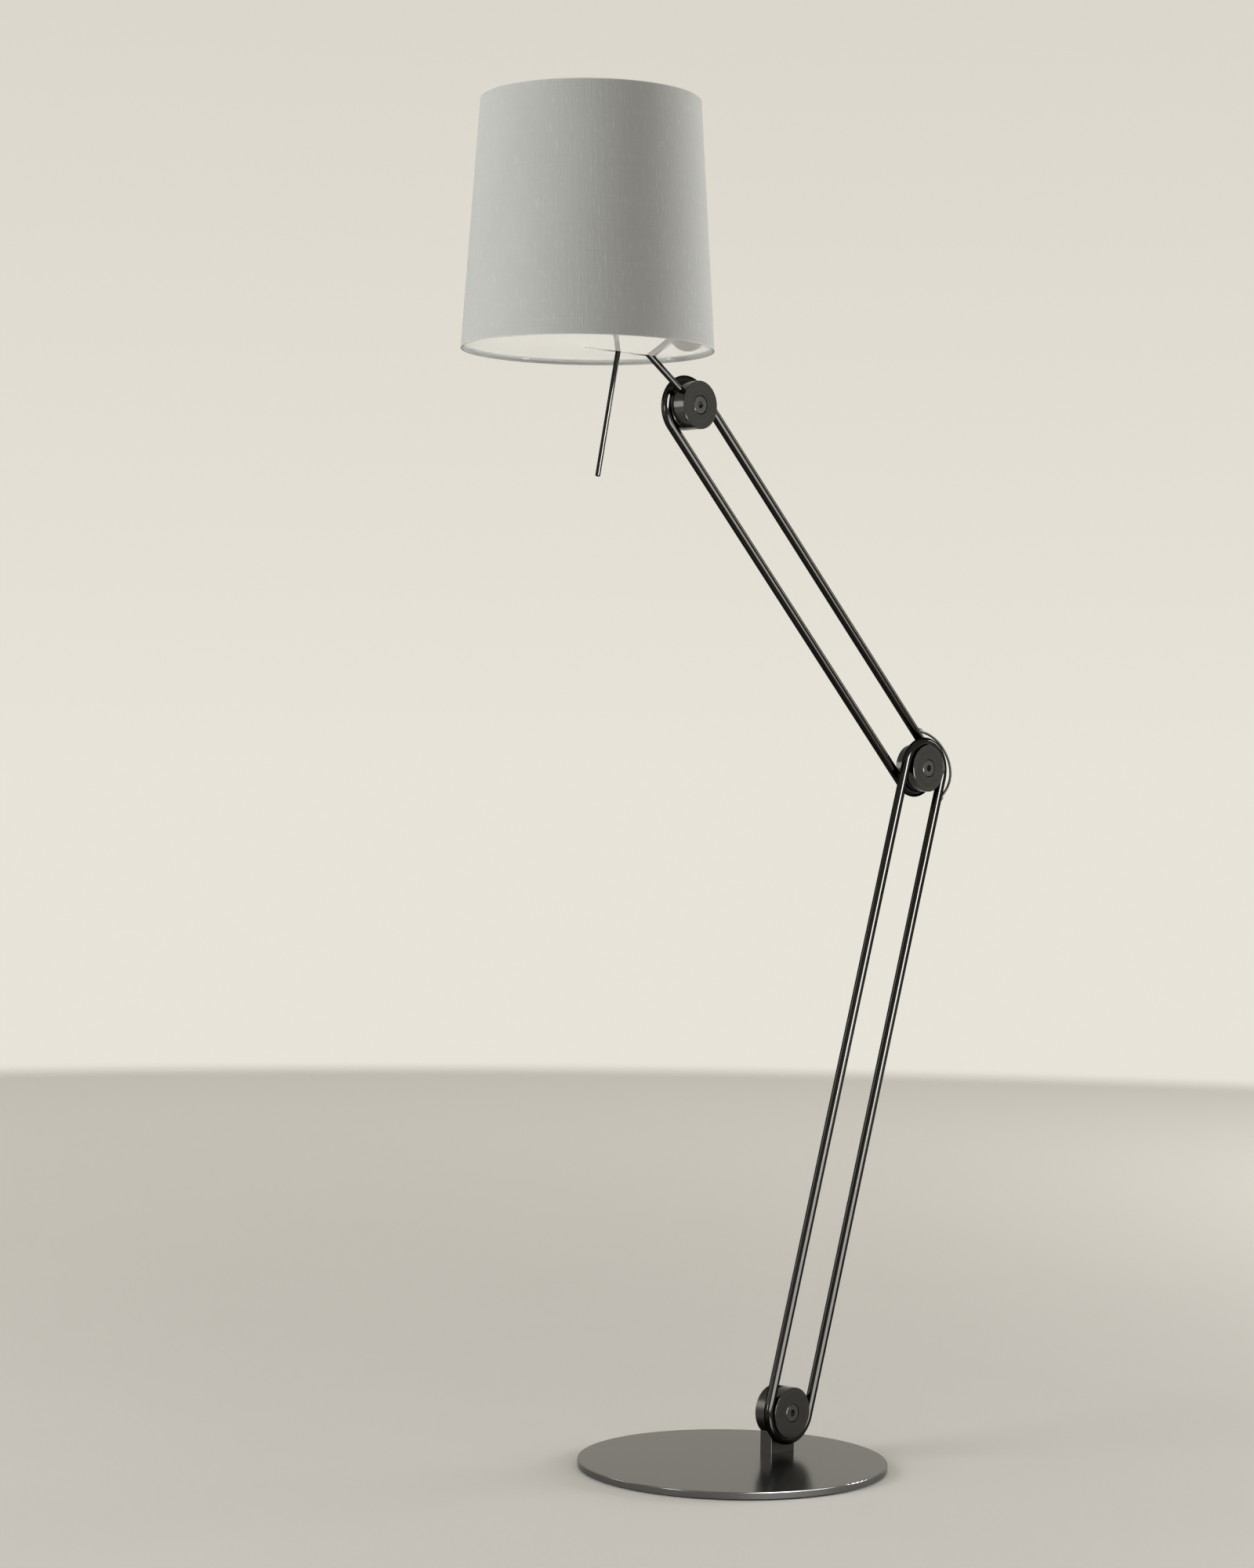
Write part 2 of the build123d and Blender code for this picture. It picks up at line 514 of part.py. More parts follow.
def make_lampholder():
    """The fork that swings on the stem's eye, with the lampholder and its bulb."""
    ear_in = EYE_HALF + HINGE_WASHER
    ear_out = ear_in + EAR_THICK
    fork = box_between((-14, -14, FORK_TOP - 3), (14, 14, FORK_TOP))
    fork = fillet(fork.edges().filter_by(Axis.Z), 3.0)
    washers = []
    for side in (-1, 1):
        low, high = sorted((side * ear_in, side * ear_out))
        fork += disc(EYE_RADIUS, low, high)
        fork += box_between((-EYE_RADIUS, low, 0), (EYE_RADIUS, high, FORK_TOP - 3))
        low, high = sorted((side * EYE_HALF, side * ear_in))
        washers.append((HINGE * washer(EYE_RADIUS - 1, HINGE_BOLT_RADIUS + 0.1, low, high)).solid())
    fork -= disc(HINGE_BOLT_RADIUS + THREAD_GAP, -20, 20)
    save(HINGE * fork, "shade_fork")
    save(Compound(washers), "shade_hinge_washers")
    bolt = disc(5.5, -ear_out - 3.0, -ear_out) + disc(HINGE_BOLT_RADIUS, -ear_out, ear_out + 8.0)
    bolt -= hexagon(4.0, -ear_out - 4.0, -ear_out - 1.0)
    save(HINGE * bolt, "shade_hinge_bolt")
    knob = washer(8.0, HINGE_BOLT_RADIUS + THREAD_GAP, ear_out, ear_out + 8.0)
    for angle in range(0, 360, 45):
        knob -= Rot(0, angle, 0) * Pos(9.5, 0, 0) * disc(2.4, ear_out - 1, ear_out + 9.0)
    save(HINGE * knob, "shade_thumb_nut")

    floor = HINGE * Pos(0, 0, FORK_TOP)
    base_radius, base_height = HOLDER_BASE
    shell_radius, shell_height = HOLDER_SHELL
    shell_top = base_height + shell_height
    cup = rod(base_radius, 0, base_height) - rod(base_radius - 2, 2.5, base_height + 1)
    cup = cup - rod(2.0, -1, 4)
    shell = ring(shell_radius, shell_radius - 2.5, base_height, shell_top)
    core = rod(shell_radius - 2.6, base_height, base_height + 12.0)
    core = core - Pos(0, 8.0, 0) * rod(1.6, base_height - 1, base_height + 13)
    contact = box_between((-7, -2.5, base_height + 12.0), (7, 2.5, base_height + 12.8))
    contact += box_between((-2.5, -2.5, base_height + 12.8), (2.5, 2.5, base_height + 14.9))
    save(floor * cup, "lampholder_base")
    save(floor * shell, "lampholder_shell")
    save(floor * core, "lampholder_core")
    save(floor * contact, "lampholder_contact")

    rings = []
    for low in (base_height + 24.0, base_height + 31.5):
        rings.append((floor * ring(shell_radius + 4.0, shell_radius + THREAD_GAP, low, low + 5.0)).solid())
    save(Compound(rings), "shade_fixing_rings")

    cap_low = base_height + 15.0
    cap_high = cap_low + BULB_CAP_HEIGHT
    screw_cap = turned([
        (0, cap_low), (4.5, cap_low), (BULB_CAP_RADIUS, cap_low + 3.0), (BULB_CAP_RADIUS, cap_high),
        (BULB_CAP_RADIUS - 1.0, cap_high), (BULB_CAP_RADIUS - 1.0, cap_low + 4.0), (0, cap_low + 1.5),
    ])
    save(floor * screw_cap, "bulb_cap")
    save(floor * bulb_envelope(cap_high), "bulb_envelope")
    return SHADE_HINGE_Z + FORK_TOP + base_height + 29.0


# ---------------------------------------------------------------- shade
def shade_radius(z):
    """The shade's outer radius at one height."""
    return SHADE_BOTTOM_RADIUS - SHADE_SLOPE * (z - SHADE_BOTTOM_Z)


def shade_skin(outset, thick, low, high):
    """A slightly conical shell: outset moves its outer face from the shade's outside."""
    top = shade_radius(high) + outset
    bottom = shade_radius(low) + outset
    return turned([(bottom, low), (top, high), (top - thick, high), (bottom - thick, low)])


def make_shade(fitter_z):
    """Fabric, liner, hems, wire frame, diffuser and its clips."""
    low, high = SHADE_BOTTOM_Z + HEM_THICK, SHADE_TOP_Z - HEM_THICK
    save(SHADE * shade_skin(-HEM_THICK, FABRIC_THICK, low, high), "shade_fabric")
    save(SHADE * shade_skin(-HEM_THICK - FABRIC_THICK, LINER_THICK, low, high), "shade_liner")
    wall = FABRIC_THICK + LINER_THICK
    for name, edge, inward in (("bottom_hem", SHADE_BOTTOM_Z, 1), ("top_hem", SHADE_TOP_Z, -1)):
        low, high = sorted((edge, edge + inward * HEM_HEIGHT))
        band = shade_skin(0, wall + HEM_THICK, low, high)
        low, high = sorted((edge + inward * HEM_THICK, edge + inward * (HEM_HEIGHT + 1)))
        band -= shade_skin(-HEM_THICK, wall + 5, low, high)
        save(SHADE * band, name)

    inside = wall + HEM_THICK + WIRE_RADIUS + 0.1
    diffuser_top = DIFFUSER_Z + DIFFUSER_THICK
    wire_z = diffuser_top + WIRE_RADIUS
    wire_ring_radius = shade_radius(wire_z) - inside
    save(SHADE * Pos(0, 0, wire_z) * Torus(wire_ring_radius, WIRE_RADIUS), "bottom_wire_ring")

    top_wire_z = SHADE_TOP_Z - HEM_HEIGHT - WIRE_RADIUS
    top_ring_radius = shade_radius(top_wire_z) - inside
    spider = Pos(0, 0, top_wire_z) * Torus(top_ring_radius, WIRE_RADIUS)
    spider += ring(27.0, 20.3, fitter_z, fitter_z + 2.4)
    inner = Vector(25.0, 0, fitter_z + 1.2)
    outer = Vector(top_ring_radius, 0, top_wire_z)
    along = outer - inner
    arm = Plane(origin=inner, z_dir=along).location * rod(WIRE_RADIUS, 0, along.length)
    for angle in SPIDER_ANGLES:
        spider += Rot(0, 0, angle) * arm
    save(SHADE * spider, "shade_spider")

    narrowing = SHADE_SLOPE * (DIFFUSER_RECESS + DIFFUSER_THICK)
    diffuser_radius = SHADE_BOTTOM_RADIUS - wall - HEM_THICK - narrowing - 0.15
    diffuser = rod(diffuser_radius, DIFFUSER_Z, diffuser_top)
    slot_length = SLOT_OUTER - SLOT_INNER
    slot = extrude(SlotOverall(slot_length, SLOT_WIDTH), DIFFUSER_THICK + 2)
    diffuser -= Pos((SLOT_OUTER + SLOT_INNER) / 2, 0, DIFFUSER_Z - 1) * slot

    half = CLIP_WIDTH / 2
    leg_in = wire_ring_radius - WIRE_RADIUS - CLIP_THICK - 0.1
    leg_out = leg_in + CLIP_THICK
    hook_low = diffuser_top + 2 * WIRE_RADIUS + 0.1
    clip = box_between((leg_in, -half, DIFFUSER_Z - CLIP_THICK), (leg_out, half, hook_low + CLIP_THICK))
    clip += box_between((leg_in, -half, hook_low), (wire_ring_radius + 1.0, half, hook_low + CLIP_THICK))
    clip += box_between((leg_in - 7.0, -half, DIFFUSER_Z - CLIP_THICK), (leg_out, half, DIFFUSER_Z))
    notch_half = half + 0.4
    notch = box_between(
        (leg_in - 0.2, -notch_half, DIFFUSER_Z - 1), (diffuser_radius + 1, notch_half, diffuser_top + 1)
    )
    clips = []
    for angle in CLIP_ANGLES:
        diffuser -= Rot(0, 0, angle) * notch
        clips.append((SHADE * Rot(0, 0, angle) * clip).solid())
    save(SHADE * diffuser, "diffuser")
    save(Compound(clips), "diffuser_clips")


os.makedirs("parts", exist_ok=True)
make_base()
make_arms(*make_cable())
make_head()
make_shade(make_lampholder())
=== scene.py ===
"""An adjustable arm floor lamp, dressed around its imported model.

Each sub-assembly is a class that knows its sizes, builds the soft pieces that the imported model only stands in
for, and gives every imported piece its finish. Everything is in metres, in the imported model's own frame.
"""

import json
import logging
import math
from dataclasses import dataclass, field
from enum import Enum
from typing import Any, Callable, ClassVar, Sequence

import bpy
from mathutils import Matrix, Vector


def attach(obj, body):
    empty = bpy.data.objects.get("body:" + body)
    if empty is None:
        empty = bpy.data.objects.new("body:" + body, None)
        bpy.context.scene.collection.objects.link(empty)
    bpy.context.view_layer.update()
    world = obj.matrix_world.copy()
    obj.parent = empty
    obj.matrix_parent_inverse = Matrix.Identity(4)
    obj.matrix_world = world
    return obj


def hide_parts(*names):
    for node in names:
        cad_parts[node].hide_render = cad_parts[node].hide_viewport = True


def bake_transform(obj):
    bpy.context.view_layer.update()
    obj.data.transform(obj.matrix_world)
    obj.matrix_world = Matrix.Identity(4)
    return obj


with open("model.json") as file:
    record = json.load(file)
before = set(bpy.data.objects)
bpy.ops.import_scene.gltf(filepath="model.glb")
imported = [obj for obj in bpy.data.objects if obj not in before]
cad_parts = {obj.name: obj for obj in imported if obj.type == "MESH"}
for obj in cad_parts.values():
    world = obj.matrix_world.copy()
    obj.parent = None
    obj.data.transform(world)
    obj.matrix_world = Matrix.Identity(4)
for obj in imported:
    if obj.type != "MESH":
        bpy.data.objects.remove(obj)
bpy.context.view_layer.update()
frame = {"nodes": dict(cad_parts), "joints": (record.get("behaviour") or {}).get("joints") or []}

LOG = logging.getLogger("lamp")
SOFT_CREASE = 60.0

Triple = tuple[float, float, float]


# ---------------------------------------------------------------- shader tools


class Signal:
    """A number on its way through a material, which takes part in sums and products."""

    def __init__(self, sheet: "ShaderSheet", socket: bpy.types.NodeSocket) -> None:
        """Wraps a node's output.

        Args:
            sheet: the material's node sheet.
            socket: the output that carries the number.
        """
        self.sheet = sheet
        self.socket = socket

    def _result(self, operation: str, first: Any, second: Any) -> "Signal":
        """One Math node's result from two values."""
        return self.sheet.math(operation, first, second)

    def __add__(self, other: Any) -> "Signal":
        """self + other."""
        return self._result("ADD", self, other)

    def __radd__(self, other: Any) -> "Signal":
        """other + self."""
        return self._result("ADD", other, self)

    def __sub__(self, other: Any) -> "Signal":
        """self - other."""
        return self._result("SUBTRACT", self, other)

    def __rsub__(self, other: Any) -> "Signal":
        """other - self."""
        return self._result("SUBTRACT", other, self)

    def __mul__(self, other: Any) -> "Signal":
        """self * other."""
        return self._result("MULTIPLY", self, other)

    def __rmul__(self, other: Any) -> "Signal":
        """other * self."""
        return self._result("MULTIPLY", other, self)

    def __truediv__(self, other: Any) -> "Signal":
        """self / other."""
        return self._result("DIVIDE", self, other)

    def __rtruediv__(self, other: Any) -> "Signal":
        """other / self."""
        return self._result("DIVIDE", other, self)

    def __pow__(self, other: Any) -> "Signal":
        """self ** other."""
        return self._result("POWER", self, other)


class ShaderSheet:
    """The node tree of a material or of the surround, and the few patterns that the finishes share."""

    def __init__(self, owner: bpy.types.ID) -> None:
        """Gives its owner an empty node tree.

        Args:
            owner: the new material or world.
        """
        self.owner = owner
        owner.use_nodes = True
        self.tree = owner.node_tree
        self.tree.nodes.clear()

    def add(
        self, kind: str, settings: dict[str, Any] | None = None, sockets: dict[Any, Any] | None = None
    ) -> bpy.types.Node:
        """Adds a node: its settings first, then the values or links of its sockets.

        Args:
            kind: the node's type.
            settings: its properties; "stops" is a ramp's (position, colour) pairs in order.
            sockets: its inputs by name or number, each a number, a tuple, an output or a Signal.

        Returns:
            The node.
        """
        node = self.tree.nodes.new(kind)
        for key, value in (settings or {}).items():
            if key == "stops":
                ramp = node.color_ramp.elements
                while len(ramp) < len(value):
                    ramp.new(1.0)
                for stop, (position, colour) in zip(ramp, value):
                    stop.position = position
                    stop.color = (*colour, 1.0)
            else:
                setattr(node, key, value)
        for key, value in (sockets or {}).items():
            target = node.inputs[key]
            if isinstance(value, Signal):
                value = value.socket
            if isinstance(value, bpy.types.NodeSocket):
                self.tree.links.new(value, target)
            elif isinstance(value, tuple) and target.type == "RGBA":
                target.default_value = (*value[:3], 1.0)
            else:
                target.default_value = value
        return node

    def math(self, operation: str, *values: Any) -> Signal:
        """A Math node.

        Args:
            operation: what it does, such as ADD.
            values: its inputs in order.

        Returns:
            Its result.
        """
        node = self.add("ShaderNodeMath", {"operation": operation}, dict(enumerate(values)))
        return Signal(self, node.outputs[0])

    def vector(self, operation: str, *values: Any) -> bpy.types.NodeSocket:
        """A Vector Math node's vector result, from its inputs in order."""
        node = self.add("ShaderNodeVectorMath", {"operation": operation}, dict(enumerate(values)))
        return node.outputs[0]

    def spot(self, origin: Triple = (0.0, 0.0, 0.0)) -> bpy.types.NodeSocket:
        """Where on its piece a point is, measured at rest from origin."""
        place = self.add("ShaderNodeTexCoord").outputs["Object"]
        return self.vector("SUBTRACT", place, origin)

    def turned(self, spot: bpy.types.NodeSocket, axis: str, angle: float) -> bpy.types.NodeSocket:
        """The spot turned about an axis, X_AXIS, Y_AXIS or Z_AXIS, by an angle in radians."""
        node = self.add("ShaderNodeVectorRotate", {"rotation_type": axis}, {"Vector": spot, "Angle": angle})
        return node.outputs[0]

    def parts(self, spot: bpy.types.NodeSocket) -> list[Signal]:
        """The three coordinates of a spot."""
        return [Signal(self, out) for out in self.add("ShaderNodeSeparateXYZ", sockets={0: spot}).outputs]

    def joined(self, *values: Any) -> bpy.types.NodeSocket:
        """A spot from its coordinates."""
        return self.add("ShaderNodeCombineXYZ", sockets=dict(enumerate(values))).outputs[0]

    def noise(
        self, spot: bpy.types.NodeSocket, stretch: Triple, detail: float = 2.0, rough: float = 0.5
    ) -> Signal:
        """Noise about 0.5, whose grains are as many to the metre along each axis as stretch says.

        Args:
            spot: where the point is.
            stretch: grains to the metre along x, y and z.
            detail: how many finer layers it has.
            rough: how strong those are.

        Returns:
            The noise, from 0 to 1.
        """
        node = self.add(
            "ShaderNodeTexNoise",
            sockets={
                "Vector": self.vector("MULTIPLY", spot, stretch),
                "Scale": 1.0,
                "Detail": detail,
                "Roughness": rough,
            },
        )
        return Signal(self, node.outputs[0])

    def span(self, value: Signal, low: float, high: float) -> Signal:
        """0 where value is at low or under, 1 where it is at high or over, and smooth between them."""
        node = self.add(
            "ShaderNodeMapRange",
            {"interpolation_type": "SMOOTHSTEP"},
            {"Value": value, "From Min": low, "From Max": high},
        )
        return Signal(self, node.outputs[0])

    def tint(self, share: Signal, first: Any, second: Any) -> bpy.types.NodeSocket:
        """The colour between first, at share 0, and second, at share 1."""
        node = self.add("ShaderNodeMix", {"data_type": "RGBA"}, {0: share, 6: first, 7: second})
        return node.outputs[2]

    def relief(self, height: Signal, depth: float) -> bpy.types.NodeSocket:
        """The normal of a surface with this relief, depth metres from its lowest to its highest."""
        node = self.add("ShaderNodeBump", sockets={"Strength": 1.0, "Distance": depth, "Height": height})
        return node.outputs[0]

    def surface(self, sockets: dict[str, Any]) -> bpy.types.Material:
        """Ends the sheet in one Principled shader.

        Args:
            sockets: its inputs.

        Returns:
            The finished material.
        """
        shader = self.add("ShaderNodeBsdfPrincipled", sockets=sockets)
        self.add("ShaderNodeOutputMaterial", sockets={"Surface": shader.outputs[0]})
        return self.owner


# -------------------------------------------------------------------- finishes


def even(grains: float) -> Triple:
    """A stretch with as many grains to the metre every way."""
    return grains, grains, grains


def shades(colour: Triple, spread: float) -> tuple[Triple, Triple]:
    """A darker and a lighter version of a colour, spread apart as a share of it."""
    return tuple(c * (1 - spread) for c in colour), tuple(c * (1 + spread) for c in colour)


class Grain(Enum):
    """The way that a metal's surface was worked."""

    TURNED = "rings round a pivot"
    DRAWN = "lines along a tube"
    BRUSHED = "lines across a plate"
    BLASTED = "no direction"


@dataclass(frozen=True)
class Finish:
    """A finish that is made into a material once, and shared by every piece that has it."""

    name: str

    def paint(self, sheet: ShaderSheet) -> bpy.types.Material:
        """Fills the sheet; each finish has its own."""
        raise NotImplementedError

    def material(self) -> bpy.types.Material:
        """The finish's material, made the first time that it is asked for."""
        title = f"finish_{self.name}"
        return bpy.data.materials.get(title) or self.paint(ShaderSheet(bpy.data.materials.new(title)))


@dataclass(frozen=True)
class Metal(Finish):
    """A bare or plated metal with the marks of how it was worked."""

    colour: Triple
    roughness: float
    grain: Grain = Grain.BLASTED
    pitch: float = 0.0006
    depth: float = 0.000004
    spread: float = 0.12
    haze: float = 0.05
    edge: Triple = (1.0, 1.0, 1.0)
    centre: Triple = (0.0, 0.0, 0.0)
    lean: float = 0.0

    LINE_LENGTH: ClassVar[float] = 70.0
    HAZE_GRAINS: ClassVar[float] = 11.0
    MARKS_SHARE: ClassVar[float] = 0.7

    def marks(self, sheet: ShaderSheet) -> Signal:
        """The tool marks, from 0 to 1."""
        fine = 1 / self.pitch
        spot = sheet.spot(self.centre)
        if self.grain is Grain.TURNED:
            x, y, z = sheet.parts(spot)
            radius = (x * x + z * z) ** 0.5
            return sheet.noise(sheet.joined(radius, y, 0.0), (fine, fine, 0.0), 1.5, 0.5)
        if self.grain is Grain.DRAWN:
            along = sheet.turned(spot, "Y_AXIS", -self.lean)
            return sheet.noise(along, (fine, fine, fine / self.LINE_LENGTH), 3.0, 0.6)
        if self.grain is Grain.BRUSHED:
            along = sheet.turned(spot, "Z_AXIS", self.lean)
            return sheet.noise(along, (fine / self.LINE_LENGTH, fine, fine), 3.0, 0.6)
        return sheet.noise(spot, even(fine), 3.0, 0.6)

    def paint(self, sheet: ShaderSheet) -> bpy.types.Material:
        """Tool marks in colour, gloss and relief, and a faint uneven haze over them."""
        marks = self.marks(sheet)
        haze = sheet.noise(sheet.spot(), even(self.HAZE_GRAINS), 3.0, 0.55)
        mottle = marks * self.MARKS_SHARE + haze * (1 - self.MARKS_SHARE)
        dark, light = shades(self.colour, self.spread)
        gloss = self.roughness + (marks - 0.5) * self.haze + (haze - 0.5) * self.haze
        return sheet.surface(
            {
                "Base Color": sheet.tint(mottle, dark, light),
                "Metallic": 1.0,
                "Roughness": gloss,
                "Specular Tint": self.edge,
                "Normal": sheet.relief(marks, self.depth),
            }
        )


@dataclass(frozen=True)
class Moulded(Finish):
    """A moulded plastic, rubber, ceramic or enamel with a fine surface texture."""

    colour: Triple
    roughness: float
    pitch: float = 0.0005
    depth: float = 0.000006
    spread: float = 0.05
    shine: float = 0.5
    gloss_spread: float = 0.06

    DRIFT_GRAINS: ClassVar[float] = 23.0
    DRIFT_SHARE: ClassVar[float] = 0.6

    def paint(self, sheet: ShaderSheet) -> bpy.types.Material:
        """A fine pebble in the relief, and slow drifts of colour and gloss."""
        spot = sheet.spot()
        pebble = sheet.noise(spot, even(1 / self.pitch), 2.0, 0.5)
        drift = sheet.noise(spot, even(self.DRIFT_GRAINS), 3.0, 0.5)
        mottle = drift * self.DRIFT_SHARE + pebble * (1 - self.DRIFT_SHARE)
        dark, light = shades(self.colour, self.spread)
        return sheet.surface(
            {
                "Base Color": sheet.tint(mottle, dark, light),
                "Roughness": self.roughness + (drift - 0.5) * self.gloss_spread,
                "Specular IOR Level": self.shine,
                "Normal": sheet.relief(pebble, self.depth),
            }
        )


@dataclass(frozen=True)
class FrostedGlass(Finish):
    """The lamp bulb's inside-frosted glass."""

    colour: Triple = (0.96, 0.96, 0.95)
    spread: float = 0.03
    depth: float = 0.000004

    FROST_GRAINS: ClassVar[float] = 160.0
    POWDER_GRAINS: ClassVar[float] = 2600.0

    def paint(self, sheet: ShaderSheet) -> bpy.types.Material:
        """Clear glass dulled by a powdery frost, thicker in places."""
        spot = sheet.spot()
        frost = sheet.noise(spot, even(self.FROST_GRAINS), 3.0, 0.6)
        powder = sheet.noise(spot, even(self.POWDER_GRAINS), 2.0, 0.5)
        dark, light = shades(self.colour, self.spread)
        return sheet.surface(
            {
                "Base Color": sheet.tint(frost, dark, light),
                "Roughness": 0.28 + frost * 0.2,
                "IOR": 1.5,
                "Transmission Weight": 0.85,
                "Normal": sheet.relief(powder, self.depth),
            }
        )


@dataclass(frozen=True)
class ShadeCloth(Finish):
    """The shade's slubbed cloth: upright warp with thick places, and a finer weft round it."""

    colour: Triple
    centre: Triple
    radius: float
    warp_pitch: float = 0.00062
    weft_pitch: float = 0.00055
    depth: float = 0.0002
    spread: float = 0.16
    sheen: float = 0.12

    SEAM_TURN: ClassVar[float] = math.radians(135)
    WANDER: ClassVar[float] = 0.0005
    WANDER_GRAINS: ClassVar[Triple] = (300.0, 60.0, 1.0)
    SLUB_GRAINS: ClassVar[Triple] = (420.0, 60.0, 1.0)
    BAR_GRAINS: ClassVar[Triple] = (9.0, 820.0, 1.0)
    THREAD_GRAINS: ClassVar[Triple] = (1600.0, 90.0, 1.0)
    DYE_GRAINS: ClassVar[Triple] = (7.0, 5.0, 1.0)

    def paint(self, sheet: ShaderSheet) -> bpy.types.Material:
        """Threads in the relief, slubs as lighter dashes, and a slow drift of the dye."""
        spot = sheet.turned(sheet.spot(self.centre), "Z_AXIS", self.SEAM_TURN)
        x, y, z = sheet.parts(spot)
        round_it = sheet.math("ARCTAN2", y, x) * self.radius
        flat = sheet.joined(round_it, z, 0.0)
        wander = (sheet.noise(flat, self.WANDER_GRAINS, 1.0) - 0.5) * self.WANDER
        warp = sheet.math("SINE", (round_it + wander) * (2 * math.pi / self.warp_pitch))
        weft = sheet.math("SINE", z * (2 * math.pi / self.weft_pitch))
        slub = sheet.span(sheet.noise(flat, self.SLUB_GRAINS), 0.54, 0.74)
        bar = sheet.span(sheet.noise(flat, self.BAR_GRAINS), 0.52, 0.75)
        thread = sheet.noise(flat, self.THREAD_GRAINS)
        drift = sheet.noise(flat, self.DYE_GRAINS)
        height = warp * 0.11 + weft * 0.07 + slub * 0.8 + bar * 0.16 + thread * 0.25
        dark, light = shades(self.colour, self.spread)
        share = 0.22 + thread * 0.3 + slub * 0.3 + bar * 0.12 + (drift - 0.5) * 0.4
        return sheet.surface(
            {
                "Base Color": sheet.tint(share, dark, light),
                "Roughness": 0.86 - slub * 0.08,
                "Specular IOR Level": 0.25,
                "Sheen Weight": self.sheen,
                "Sheen Roughness": 0.5,
                "Normal": sheet.relief(height, self.depth),
            }
        )


@dataclass(frozen=True)
class TapeCloth(Finish):
    """The glued binding tape along the shade's rims, with fine ribs across it."""

    colour: Triple
    centre: Triple
    ribs: float = 1100.0
    spread: float = 0.14
    depth: float = 0.00005

    THREAD_GRAINS: ClassVar[Triple] = (900.0, 3000.0, 1.0)
    GLUE_GRAINS: ClassVar[float] = 60.0

    def paint(self, sheet: ShaderSheet) -> bpy.types.Material:
        """Ribs across the tape, and faint uneven glue shadows along it."""
        spot = sheet.turned(sheet.spot(self.centre), "Z_AXIS", ShadeCloth.SEAM_TURN)
        x, y, z = sheet.parts(spot)
        angle = sheet.math("ARCTAN2", y, x)
        rib = sheet.math("SINE", angle * self.ribs)
        thread = sheet.noise(sheet.joined(angle, z, 0.0), self.THREAD_GRAINS)
        glue = sheet.noise(spot, even(self.GLUE_GRAINS), 3.0, 0.6)
        dark, light = shades(self.colour, self.spread)
        return sheet.surface(
            {
                "Base Color": sheet.tint(thread * 0.5 + glue * 0.5, dark, light),
                "Roughness": 0.75 - glue * 0.12,
                "Specular IOR Level": 0.3,
                "Normal": sheet.relief(rib * 0.4 + thread * 0.6, self.depth),
            }
        )


@dataclass(frozen=True)
class Felt(Finish):
    """Pressed felt: matted fibres with no weave."""

    colour: Triple = (0.028, 0.028, 0.027)
    spread: float = 0.5
    depth: float = 0.0002

    FIBRE_GRAINS: ClassVar[float] = 900.0
    TUFT_GRAINS: ClassVar[float] = 140.0

    def paint(self, sheet: ShaderSheet) -> bpy.types.Material:
        """Matted fibres in two sizes."""
        spot = sheet.spot()
        fibre = sheet.noise(spot, even(self.FIBRE_GRAINS), 4.0, 0.7)
        tuft = sheet.noise(spot, even(self.TUFT_GRAINS), 3.0, 0.6)
        dark, light = shades(self.colour, self.spread)
        return sheet.surface(
            {
                "Base Color": sheet.tint(fibre * 0.6 + tuft * 0.4, dark, light),
                "Roughness": 0.93 + (tuft - 0.5) * 0.08,
                "Specular IOR Level": 0.15,
                "Sheen Weight": 0.25,
                "Normal": sheet.relief(fibre * 0.7 + tuft * 0.3, self.depth),
            }
        )


@dataclass(frozen=True)
class StudioFloor(Finish):
    """The plain pale floor, with painted light that makes it a little lighter further out, which ends softly.
    """

    colour: Triple
    spread: float = 0.02
    # Painted light: how much lighter the far floor is painted, and from what distance it starts.
    painted_light_share: float = 1.5
    painted_light_from: float = 0.6
    clear_from: float = 5.2
    clear_by: float = 5.7

    MOTTLE_GRAINS: ClassVar[float] = 3.0

    def paint(self, sheet: ShaderSheet) -> bpy.types.Material:
        """A matt colour with the faintest mottle, painted lighter by distance from the lamp to stand in for
        light, and then gone.
        """
        spot = sheet.spot()
        x, y, _ = sheet.parts(spot)
        mottle = sheet.noise(spot, even(self.MOTTLE_GRAINS), 3.0, 0.5)
        far = (x * x + y * y) ** 0.5
        # Painted light: the floor's colour grows lighter with distance from the lamp, standing in for light
        # that falls on the far floor.
        painted_lit_colour = tuple(c * self.painted_light_share for c in self.colour)
        near = sheet.tint(mottle, *shades(self.colour, self.spread))
        shader = sheet.add(
            "ShaderNodeBsdfPrincipled",
            sockets={
                "Base Color": sheet.tint(sheet.span(far, self.painted_light_from, self.clear_from), near, painted_lit_colour),
                "Roughness": 0.85,
                "Specular IOR Level": 0.15,
            },
        )
        clear = sheet.add("ShaderNodeBsdfTransparent")
        gone = sheet.span(far, self.clear_from, self.clear_by)
        layers = {0: gone, 1: shader.outputs[0], 2: clear.outputs[0]}
        mixed = sheet.add("ShaderNodeMixShader", sockets=layers)
        sheet.add("ShaderNodeOutputMaterial", sockets={"Surface": mixed.outputs[0]})
        return sheet.owner


# ------------------------------------------------------------------ mesh tools


def piece(
    name: str, points: Sequence[Sequence[float]], faces: Sequence[Sequence[int]], crease: float = 40.0
) -> bpy.types.Object:
    """Makes a mesh object with smooth faces and sharp creases.

    Args:
        name: the piece's name.
        points: its vertices.
        faces: the vertex numbers of each face.
        crease: faces that meet at more than this many degrees meet in a sharp edge.

    Returns:
        The object, in the scene.
    """
    mesh = bpy.data.meshes.new(name)
    mesh.from_pydata([tuple(p) for p in points], [], [tuple(f) for f in faces])
    mesh.validate()
    mesh.polygons.foreach_set("use_smooth", [True] * len(mesh.polygons))
    mesh.set_sharp_from_angle(angle=math.radians(crease))
    made = bpy.data.objects.new(name, mesh)
    bpy.context.scene.collection.objects.link(made)
    return made


